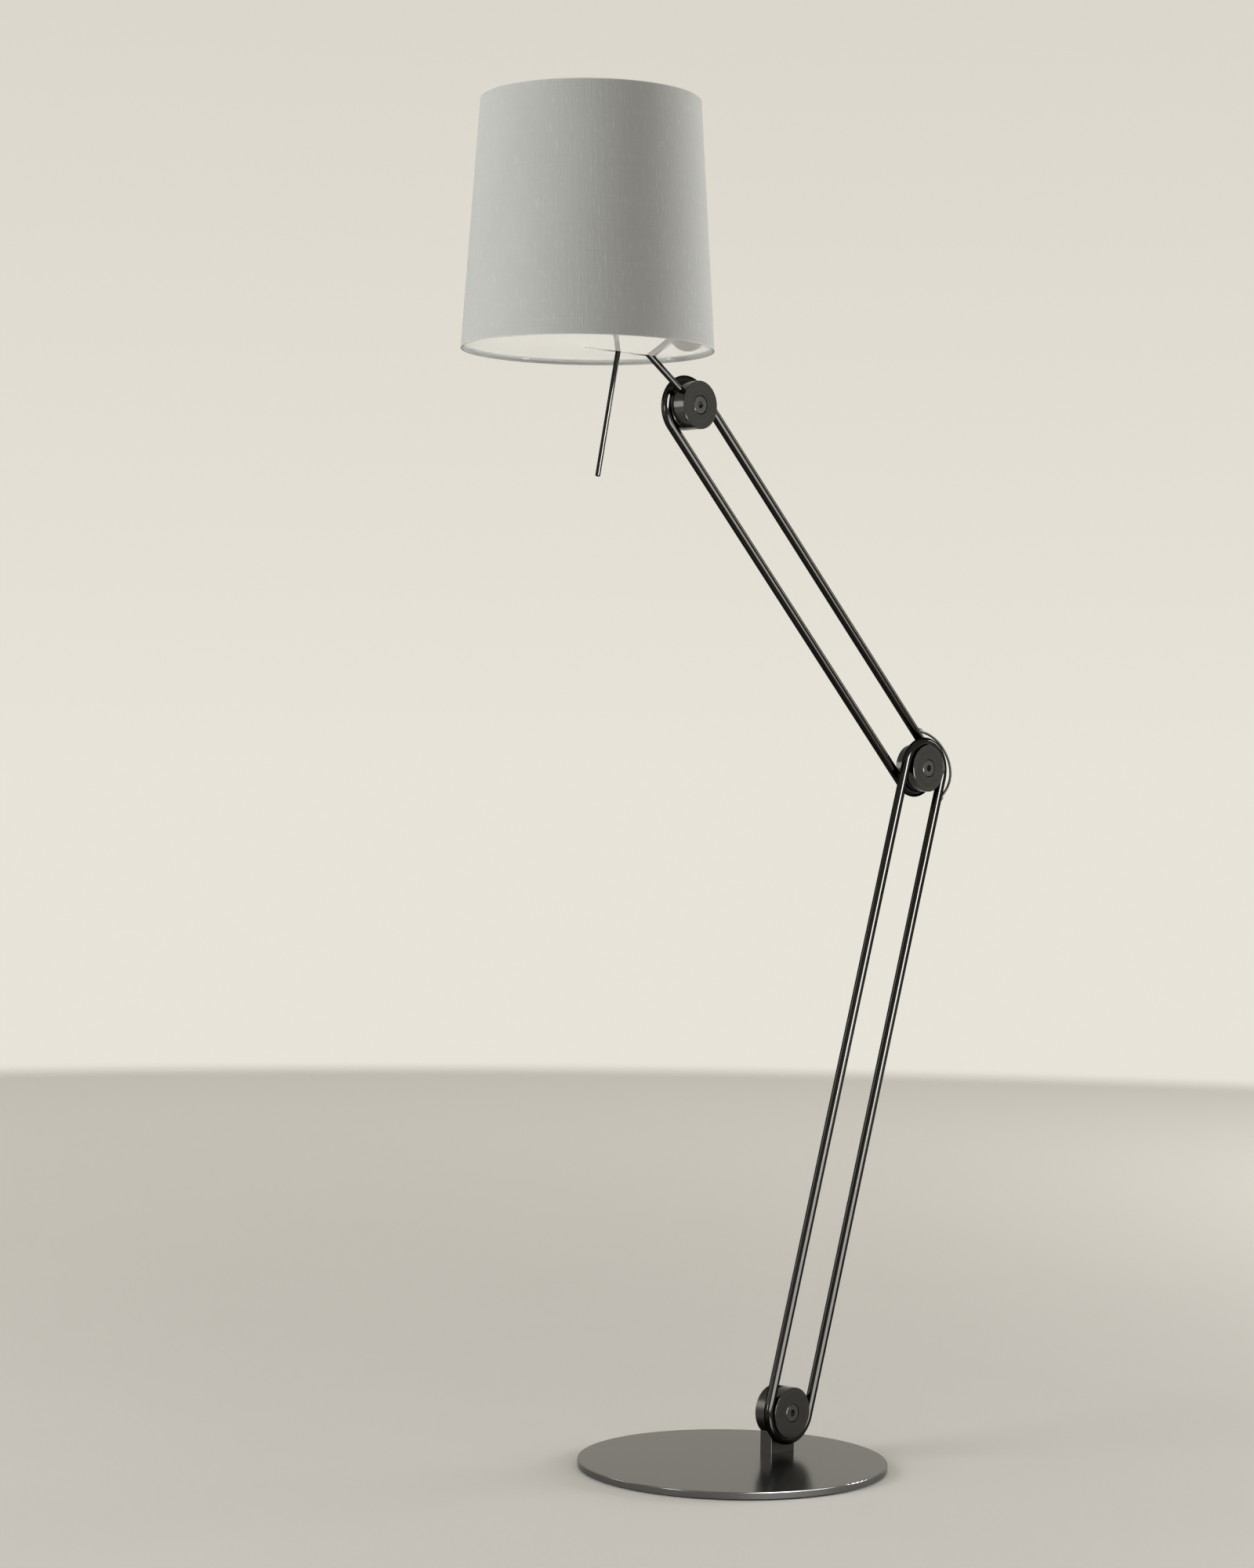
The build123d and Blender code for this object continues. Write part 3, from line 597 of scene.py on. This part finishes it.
def wrapped(
    name: str,
    profile: Sequence[tuple[float, float]],
    centre: tuple[float, float],
    steps: int,
    wobble: Callable[[float], float],
) -> bpy.types.Object:
    """Turns a closed profile once round an upright axis.

    Args:
        name: the piece's name.
        profile: (radius, height) of each corner, in order, with the outside on the right of the way up.
        centre: the axis's x and y.
        steps: points round the turn.
        wobble: what to add to the radius at an angle.

    Returns:
        The object.
    """
    points, faces = [], []
    count = len(profile)
    for step in range(steps):
        angle = 2 * math.pi * step / steps
        for radius, height in profile:
            reach = radius + wobble(angle)
            points.append((centre[0] + reach * math.cos(angle), centre[1] + reach * math.sin(angle), height))
    for step in range(steps):
        here, there = step * count, (step + 1) % steps * count
        for corner in range(count):
            after = (corner + 1) % count
            faces.append((here + corner, there + corner, there + after, here + after))
    return piece(name, points, faces)


def rounded(
    corners: Sequence[tuple[float, float]], radius: float, steps: int = 3
) -> list[tuple[float, float]]:
    """Rounds every corner of a closed profile.

    Args:
        corners: the profile's corners in order.
        radius: how far from each corner its curve starts.
        steps: points on each curve, less one.

    Returns:
        The rounded profile.
    """
    out = []
    for index, corner in enumerate(corners):
        here = Vector(corner)
        before, after = Vector(corners[index - 1]), Vector(corners[(index + 1) % len(corners)])
        start = here + (before - here).normalized() * radius
        end = here + (after - here).normalized() * radius
        for step in range(steps + 1):
            share = step / steps
            on_curve = start.lerp(here, share).lerp(here.lerp(end, share), share)
            out.append((on_curve.x, on_curve.y))
    return out


def joint_place(name: str) -> Vector:
    """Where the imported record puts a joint's axis."""
    return next(Vector(joint["pos_m"]) for joint in frame["joints"] if joint["name"] == name)


class Assembly:
    """What every sub-assembly can do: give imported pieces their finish, and hang new ones on a body."""

    body: str

    def coat(self, finish: Finish, *nodes: str) -> None:
        """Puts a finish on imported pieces, which keep their shape.

        Args:
            finish: what they get.
            nodes: their names.
        """
        for node in nodes:
            target = frame["nodes"][node]
            if not target.material_slots:
                target.data.materials.append(finish.material())
            for slot in target.material_slots:
                slot.material = finish.material()
            LOG.info("%s: %s", node, finish.name)

    def fit(
        self, made: bpy.types.Object, finish: Finish, slot: str, *stands_for: str, rides: bool = True
    ) -> bpy.types.Object:
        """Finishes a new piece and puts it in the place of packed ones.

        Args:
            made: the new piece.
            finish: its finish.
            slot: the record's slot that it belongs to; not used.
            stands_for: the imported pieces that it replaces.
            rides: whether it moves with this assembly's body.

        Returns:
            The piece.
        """
        made.data.materials.append(finish.material())
        if rides:
            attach(made, self.body)
        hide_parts(*stands_for)
        LOG.info("%s: %s, in place of %s", made.name, finish.name, ", ".join(stands_for))
        return made


# ------------------------------------------------------------ shared finishes

GUNMETAL = (0.025, 0.0245, 0.023)
EDGE_DARK = (0.2, 0.2, 0.19)

FASTENER = Metal("zinc_plated_steel", (0.36, 0.36, 0.35), 0.3, pitch=0.0004)
SLIP = Moulded("natural_acetal", (0.7, 0.69, 0.65), 0.42)
CAP = Moulded("matt_black_cap", (0.022, 0.022, 0.021), 0.48, pitch=0.0004, depth=0.00001)
RUBBER = Moulded("black_rubber", (0.014, 0.014, 0.014), 0.62, pitch=0.0003, depth=0.00001)
SHEATH = Moulded("black_cable_sheath", (0.007, 0.007, 0.007), 0.5, pitch=0.0009, depth=0.00001, shine=0.25)
CHROME = Metal(
    "polished_chrome",
    (0.034, 0.034, 0.033),
    0.12,
    pitch=0.0012,
    depth=0.0000008,
    spread=0.04,
    haze=0.03,
    edge=(0.12, 0.12, 0.12),
)
HOLDER = Moulded("white_holder_plastic", (0.78, 0.77, 0.74), 0.38)


# --------------------------------------------------------------- the assemblies


class SeenBy(Enum):
    """Which surfaces a softbox lights."""

    MATT = "cloth, plastic and the floor"
    GLOSS = "polished metal, as a reflection"


@dataclass(frozen=True)
class Softbox:
    """A rectangular light that faces the lamp.

    Its side is in degrees round from the camera's side of the lamp, to its left if positive. Its height is
    that of its middle above the floor, its size is its width and height, and its power is in watts.
    """

    name: str
    side: float
    height: float
    distance: float
    size: tuple[float, float]
    power: float
    seen_by: SeenBy
    colour: Triple = (1.0, 1.0, 1.0)

    def hang(self, eye: Triple, target: Triple) -> None:
        """Puts the light in the scene.

        Args:
            eye: where the camera is.
            target: the point of the lamp that the light faces.
        """
        data = bpy.data.lights.new(self.name, "AREA")
        data.shape = "RECTANGLE"
        data.size, data.size_y = self.size
        data.energy = self.power
        data.color = self.colour
        light = bpy.data.objects.new(self.name, data)
        light.visible_camera = False
        light.visible_glossy = self.seen_by is SeenBy.GLOSS
        light.visible_diffuse = self.seen_by is SeenBy.MATT
        to_camera = Vector((eye[0], eye[1], 0.0)).normalized()
        away = Matrix.Rotation(math.radians(-self.side), 3, "Z") @ to_camera
        place = Vector((target[0], target[1], self.height)) + away * self.distance
        aim = (Vector(target) - place).to_track_quat("-Z", "Y")
        light.matrix_world = Matrix.Translation(place) @ aim.to_matrix().to_4x4()
        bpy.context.scene.collection.objects.link(light)


SOFTBOXES = (
    Softbox("key_left", 64.0, 1.6, 5.5, (2.9, 4.4), 530.0, SeenBy.MATT, (1.0, 0.99, 0.96)),
    Softbox("fill_right", -116.0, 0.8, 5.2, (2.2, 1.5), 430.0, SeenBy.MATT, (1.0, 0.98, 0.94)),
    Softbox("sheen_left", 44.0, 1.0, 4.5, (1.0, 1.2), 60.0, SeenBy.GLOSS),
    Softbox("sheen_right", -37.0, 2.5, 4.5, (1.9, 2.2), 560.0, SeenBy.GLOSS),
    Softbox("sheen_side", -118.0, 2.2, 4.5, (1.4, 1.5), 330.0, SeenBy.GLOSS),
    Softbox("sheen_far_left", 92.0, 1.7, 4.5, (1.6, 1.8), 42.0, SeenBy.GLOSS),
    Softbox("bounce_card", -40.0, 0.35, 1.3, (1.5, 1.1), 60.0, SeenBy.GLOSS),
)


@dataclass
class Studio:
    """The pale floor, the soft lights and the camera."""

    eye: Triple = (-3.041, -2.842, 0.856)
    heading: float = math.radians(-45)
    roll: float = math.radians(0.8)
    lens: float = 77.92
    film: float = 36.0
    shift: float = -0.0105
    nearest: float = 0.05
    furthest: float = 100.0
    floor_size: float = 5.8
    floor_sides: int = 96
    floor_colour: Triple = (0.405, 0.4, 0.387)
    horizon: Triple = (0.8, 0.77, 0.695)
    overhead: Triple = (0.66, 0.62, 0.55)
    overhead_from: float = 0.35
    target: Triple = (0.0, 0.0, 0.8)

    def build(self) -> None:
        """Sets the whole studio up."""
        self.place_camera()
        self.lay_floor()
        self.light_sky()
        for softbox in SOFTBOXES:
            softbox.hang(self.eye, self.target)
        view = bpy.context.scene.view_settings
        view.view_transform = "Standard"
        view.look = "None"

    def place_camera(self) -> None:
        """A level camera a little above the lamp's middle, turned by a hair."""
        data = bpy.data.cameras.new("camera")
        data.lens = self.lens
        data.sensor_width = self.film
        data.shift_y = self.shift
        data.clip_start = self.nearest
        data.clip_end = self.furthest
        camera = bpy.data.objects.new("camera", data)
        level = Matrix.Rotation(self.heading, 4, "Z") @ Matrix.Rotation(math.radians(90), 4, "X")
        camera.matrix_world = Matrix.Translation(self.eye) @ level @ Matrix.Rotation(self.roll, 4, "Z")
        bpy.context.scene.collection.objects.link(camera)
        bpy.context.scene.camera = camera

    def lay_floor(self) -> None:
        """A round floor under the lamp."""
        steps = self.floor_sides
        points = [(0.0, 0.0, 0.0)]
        for step in range(steps):
            angle = 2 * math.pi * step / steps
            points.append((self.floor_size * math.cos(angle), self.floor_size * math.sin(angle), 0.0))
        faces = [(0, step + 1, (step + 1) % steps + 1) for step in range(steps)]
        floor = piece("studio_floor", points, faces)
        floor.data.materials.append(StudioFloor("studio_floor", self.floor_colour).material())

    def light_sky(self) -> None:
        """An even pale surround, a little darker overhead."""
        world = bpy.data.worlds.new("studio")
        bpy.context.scene.world = world
        sheet = ShaderSheet(world)
        up = sheet.parts(sheet.add("ShaderNodeTexCoord").outputs["Generated"])[2]
        stops = ((0.0, self.horizon), (self.overhead_from, self.overhead))
        ramp = sheet.add("ShaderNodeValToRGB", {"stops": stops}, {0: up})
        background = sheet.add("ShaderNodeBackground", sockets={0: ramp.outputs[0]})
        sheet.add("ShaderNodeOutputWorld", sockets={"Surface": background.outputs[0]})


@dataclass
class Base(Assembly):
    """The felt-backed plate, the upright bracket and the pivot on it."""

    body: str = "base"
    felt_radius: float = 0.186
    felt_thick: float = 0.002
    felt_sides: int = 360

    def build(self) -> None:
        """Makes the felt and finishes the rest."""
        self.lay_felt()
        pivot = tuple(joint_place("base_tilt"))
        plate = Metal(
            "satin_gunmetal_plate",
            (0.145, 0.146, 0.143),
            0.18,
            Grain.BRUSHED,
            pitch=0.0014,
            depth=0.0000007,
            spread=0.05,
            edge=(0.74, 0.745, 0.74),
            lean=math.radians(45),
        )
        self.coat(plate, "base_plate")
        bracket = Metal(
            "polished_gunmetal_bracket",
            (0.058, 0.056, 0.052),
            0.3,
            pitch=0.0005,
            depth=0.000003,
            edge=EDGE_DARK,
        )
        self.coat(bracket, "base_bracket")
        self.coat(FASTENER, "base_screws", "base_spring_washers", "base_lock_nut")
        self.coat(RUBBER, "cable_grommet")
        self.coat(turned_bolt("base", pivot), "base_pivot_bolt")
        self.coat(SLIP, "base_friction_washer")
        self.coat(CAP, "base_rear_cap")

    def fray(self, angle: float) -> float:
        """What the uneven cut adds to the felt's radius at an angle."""
        return 0.00012 * math.sin(41 * angle) + 0.00009 * math.sin(97 * angle + 1.3) - 0.0002

    def lay_felt(self) -> None:
        """A die-cut felt disc with a soft edge, glued under the plate."""
        soft = self.felt_thick * 0.3
        profile = [
            (self.felt_radius - soft, 0.0),
            (self.felt_radius - soft * 0.3, soft * 0.25),
            (self.felt_radius, soft),
            (self.felt_radius, self.felt_thick - soft),
            (self.felt_radius - soft * 0.3, self.felt_thick - soft * 0.25),
            (self.felt_radius - soft, self.felt_thick),
        ]
        points, faces = [], []
        steps, count = self.felt_sides, len(profile)
        for step in range(steps):
            angle = 2 * math.pi * step / steps
            for radius, height in profile:
                reach = radius + self.fray(angle)
                points.append((reach * math.cos(angle), reach * math.sin(angle), height))
        for step in range(steps):
            here, there = step * count, (step + 1) % steps * count
            for corner in range(count - 1):
                faces.append((here + corner, there + corner, there + corner + 1, here + corner + 1))
        faces.append([step * count for step in reversed(range(steps))])
        faces.append([step * count + count - 1 for step in range(steps)])
        felt = piece("felt_disc", points, faces, SOFT_CREASE)
        self.fit(felt, Felt("pressed_felt"), "felt", "felt_pad")


def turned_bolt(where: str, pivot: Triple) -> Metal:
    """The finish of a pivot bolt, turned about its own axis."""
    return Metal(
        f"turned_bolt_{where}",
        (0.075, 0.074, 0.07),
        0.2,
        Grain.TURNED,
        pitch=0.0012,
        depth=0.000003,
        spread=0.2,
        centre=pivot,
    )


def turned_hub(where: str, pivot: Triple) -> Metal:
    """The finish of the discs at a pivot, faced on a lathe."""
    return Metal(
        f"turned_hub_{where}",
        (0.052, 0.051, 0.048),
        0.17,
        Grain.TURNED,
        pitch=0.0022,
        depth=0.000003,
        spread=0.3,
        centre=pivot,
    )


@dataclass
class Arm(Assembly):
    """One looped tube, with the discs clamped in its two ends."""

    body: str
    lean: float
    low_joint: str
    high_joint: str
    low_hub: str
    high_hub: str
    extras: dict[str, Finish] = field(default_factory=dict)

    def build(self) -> None:
        """Finishes the loop, its discs and their fasteners."""
        low, high = tuple(joint_place(self.low_joint)), tuple(joint_place(self.high_joint))
        tube = Metal(
            f"polished_gunmetal_{self.body}",
            GUNMETAL,
            0.12,
            Grain.DRAWN,
            pitch=0.0016,
            depth=0.0000003,
            spread=0.08,
            haze=0.04,
            edge=EDGE_DARK,
            centre=low,
            lean=self.lean,
        )
        self.coat(tube, f"{self.body}_loop")
        ends = ((self.low_hub, self.low_joint, low), (self.high_hub, self.high_joint, high))
        for hub, joint, place in ends:
            self.coat(turned_hub(joint, place), f"{hub}_front_cheek", f"{hub}_rear_cheek")
        self.coat(FASTENER, f"{self.body}_clamp_screws")
        for node, finish in self.extras.items():
            self.coat(finish, node)


@dataclass
class ElbowCable(Assembly):
    """The short free loop of cable that crosses the elbow from tube to tube."""

    body: str = "lower_arm"
    upper: str = "upper_arm"
    thick: float = 0.0034
    length: float = 0.1348
    upper_y: float = -0.002
    lower_y: float = -0.0176
    sides: int = 18
    route: tuple[Triple, ...] = (
        (0.0025, 0.0486, 0.0),
        (0.0165, 0.0465, 0.05),
        (0.0310, 0.0410, 0.17),
        (0.0440, 0.0315, 0.31),
        (0.0535, 0.0190, 0.46),
        (0.0586, 0.0045, 0.62),
        (0.0575, -0.0105, 0.77),
        (0.0500, -0.0235, 0.89),
        (0.0395, -0.0330, 0.97),
        (0.0285, -0.0410, 1.0),
    )

    def line(self) -> list[Vector]:
        """Points on the cable's smooth line, from its upper hole to its lower one."""
        elbow = joint_place("elbow")
        curve = bpy.data.curves.new("elbow_cable_line", "CURVE")
        curve.dimensions = "3D"
        curve.resolution_u = 10
        spline = curve.splines.new("NURBS")
        spline.points.add(len(self.route) - 1)
        for point, (x, z, share) in zip(spline.points, self.route):
            y = self.upper_y + share * (self.lower_y - self.upper_y)
            point.co = (elbow.x + x, y, elbow.z + z, 1.0)
        spline.order_u = 3
        spline.use_endpoint_u = True
        holder = bpy.data.objects.new("elbow_cable_line", curve)
        bpy.context.scene.collection.objects.link(holder)
        mesh = bpy.data.meshes.new_from_object(holder)
        line = [vertex.co.copy() for vertex in mesh.vertices]
        bpy.data.meshes.remove(mesh)
        bpy.data.objects.remove(holder)
        return line

    def build(self) -> None:
        """Sweeps the sheath along the line."""
        line = self.line()
        points, faces = [], []
        side = Vector((0.0, 1.0, 0.0))
        for index, here in enumerate(line):
            along = (line[min(index + 1, len(line) - 1)] - line[max(index - 1, 0)]).normalized()
            side = (side - along * side.dot(along)).normalized()
            across = along.cross(side)
            for step in range(self.sides):
                angle = 2 * math.pi * step / self.sides
                points.append(here + (side * math.cos(angle) + across * math.sin(angle)) * self.thick / 2)
        for index in range(len(line) - 1):
            here, there = index * self.sides, (index + 1) * self.sides
            for step in range(self.sides):
                after = (step + 1) % self.sides
                faces.append((here + step, here + after, there + after, there + step))
        faces.append(list(reversed(range(self.sides))))
        faces.append([(len(line) - 1) * self.sides + step for step in range(self.sides)])
        cable = piece("elbow_cable_sheath", points, faces, SOFT_CREASE)
        self.fit(cable, SHEATH, "black_cable", "elbow_cable", rides=False)
        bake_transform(cable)


@dataclass
class Head(Assembly):
    """The turned drum at the arm's end, the stem that comes out of it and the handle rod on the stem."""

    body: str = "head"

    def build(self) -> None:
        """Finishes the drum and its rods."""
        pivot = tuple(joint_place("head_tilt"))
        self.coat(turned_hub("head_tilt", pivot), "head_drum")
        self.coat(FASTENER, "stem_grub_screw", "handle_stud")
        self.coat(CHROME, "stem_tube", "handle_rod", "stem_eye")
        self.coat(SHEATH, "stem_lead")


@dataclass
class Shade(Assembly):
    """The tapered cloth shade on its wire frame, with the lampholder and the diffuser in it."""

    body: str = "shade"
    centre: tuple[float, float] = (-0.2927, -0.0196)
    low_radius: float = 0.1475
    high_radius: float = 0.1286
    low: float = 1.3397
    high: float = 1.63
    hem: float = 0.0005
    cloth: float = 0.0006
    liner: float = 0.0006
    hem_height: float = 0.005
    lip_height: float = 0.0009
    fold_share: float = 0.35
    flush: float = 0.00012
    seam_angle: float = math.radians(45)
    seam_lap: float = 0.012
    lap_rise: float = 0.03
    lap_gap: float = 0.0001
    cut_height: float = 0.3
    tape_sides: int = 720
    columns: int = 1100
    rows: int = 60
    cloth_colour: Triple = (0.226, 0.232, 0.23)
    tape_colour: Triple = (0.3, 0.308, 0.308)

    def radius_at(self, height: float) -> float:
        """The shade's outermost radius at a height."""
        share = (height - self.low) / (self.high - self.low)
        return self.low_radius + share * (self.high_radius - self.low_radius)

    def build(self) -> None:
        """Makes the cloth and its bindings, and finishes the frame, the lampholder and the diffuser."""
        bottom_tape = self.bind("bottom_binding", "bottom_hem", self.low, 1)
        top_tape = self.bind("top_binding", "top_hem", self.high, -1)
        self.stretch_cloth([bottom_tape, top_tape])
        self.coat(CHROME, "shade_fork")
        self.coat(FASTENER, "shade_hinge_bolt", "shade_thumb_nut")
        self.coat(SLIP, "shade_hinge_washers")
        self.coat(HOLDER, "lampholder_base", "lampholder_shell", "shade_fixing_rings")
        self.coat(Moulded("white_glazed_ceramic", (0.8, 0.79, 0.76), 0.18), "lampholder_core")
        self.coat(Metal("sprung_brass", (0.75, 0.56, 0.26), 0.3), "lampholder_contact")
        self.coat(Metal("bright_bulb_cap", (0.62, 0.62, 0.61), 0.25), "bulb_cap")
        self.coat(FrostedGlass("frosted_bulb_glass"), "bulb_envelope")
        backing = Moulded("white_styrene_backing", (0.8, 0.8, 0.79), 0.5, pitch=0.0008)
        self.coat(backing, "shade_liner")
        enamel = Moulded("white_enamelled_wire", (0.78, 0.78, 0.77), 0.3)
        self.coat(enamel, "bottom_wire_ring", "shade_spider")
        opal = Moulded(
            "opal_acrylic",
            (0.82, 0.822, 0.815),
            0.004,
            pitch=0.03,
            depth=0.0000001,
            spread=0.015,
            gloss_spread=0.002,
        )
        self.coat(opal, "diffuser")
        self.coat(Moulded("clear_white_clip", (0.7, 0.7, 0.69), 0.35), "diffuser_clips")

    def over_seam(self, turn: float) -> float:
        """How far the cloth has risen over its own start after a turn, from 0 to 1."""
        share = min(1.0, max(0.0, (turn - 2 * math.pi + self.lap_rise) / self.lap_rise))
        return share * share * (3 - 2 * share)

    def ripple(self, turn: float, share: float) -> float:
        """The cloth's faint unevenness after a turn, at a share of its height."""
        return 0.00003 * math.sin(173 * turn + 9 * share) * math.sin(61 * turn + 1.7)

    def waver(self, angle: float) -> float:
        """The tape's faint unevenness at an angle."""
        return 0.00004 * math.sin(29 * angle + 0.7) * math.sin(83 * angle)

    def stretch_cloth(self, tapes: list[bpy.types.Object]) -> None:
        """The cloth, drawn round the backing and lapped over itself at the back.

        Args:
            tapes: the bindings that hold its edges; not used.
        """
        low, high = self.low + self.hem, self.high - self.hem
        mean_radius = (self.low_radius + self.high_radius) / 2
        lap = self.seam_lap / mean_radius
        total = 2 * math.pi + lap
        points, faces = [], []
        for column in range(self.columns + 1):
            turn = total * column / self.columns
            angle = self.seam_angle + turn
            rise = self.over_seam(turn) * (self.cloth + self.lap_gap)
            for row in range(self.rows + 1):
                share = row / self.rows
                height = low + (high - low) * share
                outer = self.radius_at(height) - self.flush + rise + self.ripple(turn, share)
                for reach in (outer, outer - self.cloth):
                    x = self.centre[0] + reach * math.cos(angle)
                    y = self.centre[1] + reach * math.sin(angle)
                    points.append((x, y, height))
        tall = (self.rows + 1) * 2
        for column in range(self.columns):
            for row in range(self.rows):
                here = column * tall + row * 2
                there = here + tall
                faces.append((here, there, there + 2, here + 2))
                faces.append((here + 1, here + 3, there + 3, there + 1))
            for end, flip in ((column * tall, False), (column * tall + self.rows * 2, True)):
                ring = (end, end + 1, end + tall + 1, end + tall)
                faces.append(ring[::-1] if flip else ring)
        for start, flip in ((0, False), (self.columns * tall, True)):
            for row in range(self.rows):
                here = start + row * 2
                ring = (here, here + 2, here + 3, here + 1)
                faces.append(ring[::-1] if flip else ring)
        cloth = piece("shade_cloth", points, faces)
        weave = ShadeCloth("slubbed_grey_cloth", self.cloth_colour, (*self.centre, 0.0), mean_radius)
        self.fit(cloth, weave, "shade_cloth", "shade_fabric")

    def bind(self, name: str, stands_for: str, edge: float, inward: int) -> bpy.types.Object:
        """A binding tape folded over one rim.

        Args:
            name: the piece's name.
            stands_for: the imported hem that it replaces.
            edge: the rim's height.
            inward: 1 where the tape goes up from its fold, -1 where it goes down.

        Returns:
            The tape.
        """
        wall = self.hem + self.cloth + self.liner + self.hem
        floor = edge + inward * self.hem
        outer_end = edge + inward * self.lip_height
        inner_end = edge + inward * self.hem_height
        corners = [
            (self.radius_at(edge), edge),
            (self.radius_at(outer_end), outer_end),
            (self.radius_at(outer_end) - self.hem, outer_end),
            (self.radius_at(floor) - self.hem, floor),
            (self.radius_at(floor) - wall + self.hem, floor),
            (self.radius_at(inner_end) - wall + self.hem, inner_end),
            (self.radius_at(inner_end) - wall, inner_end),
            (self.radius_at(edge) - wall, edge),
        ]
        if inward < 0:
            corners.reverse()
        profile = rounded(corners, self.hem * self.fold_share)
        tape = wrapped(name, profile, self.centre, self.tape_sides, self.waver)
        finish = TapeCloth("binding_tape", self.tape_colour, (*self.centre, 0.0))
        return self.fit(tape, finish, "shade_cloth", stands_for)


def main() -> None:
    """Builds the studio and the lamp, sub-assembly by sub-assembly."""
    logging.basicConfig(level=logging.INFO, format="%(name)s %(message)s")
    elbow, head = tuple(joint_place("elbow")), tuple(joint_place("head_tilt"))
    lower = Arm(
        "lower_arm", math.radians(17), "base_tilt", "elbow", "lower_base_hub", "lower_elbow_hub",
        extras={"lower_cable_grommet": RUBBER, "lower_arm_lead": SHEATH},
    )
    upper = Arm(
        "upper_arm", math.radians(-45.5), "elbow", "head_tilt", "upper_elbow_hub", "upper_head_hub",
        extras={
            "upper_cable_grommet": RUBBER,
            "upper_arm_lead": SHEATH,
            "elbow_pivot_bolt": turned_bolt("elbow", elbow),
            "head_pivot_bolt": turned_bolt("head", head),
            "upper_arm_spring_washers": FASTENER,
            "upper_arm_friction_washers": SLIP,
            "upper_arm_lock_nuts": FASTENER,
            "upper_arm_rear_caps": CAP,
        },
    )
    for assembly in (Studio(), ElbowCable(), Base(), lower, upper, Head(), Shade()):
        assembly.build()
        LOG.info("%s done", type(assembly).__name__)


if __name__ == "__main__":
    main()
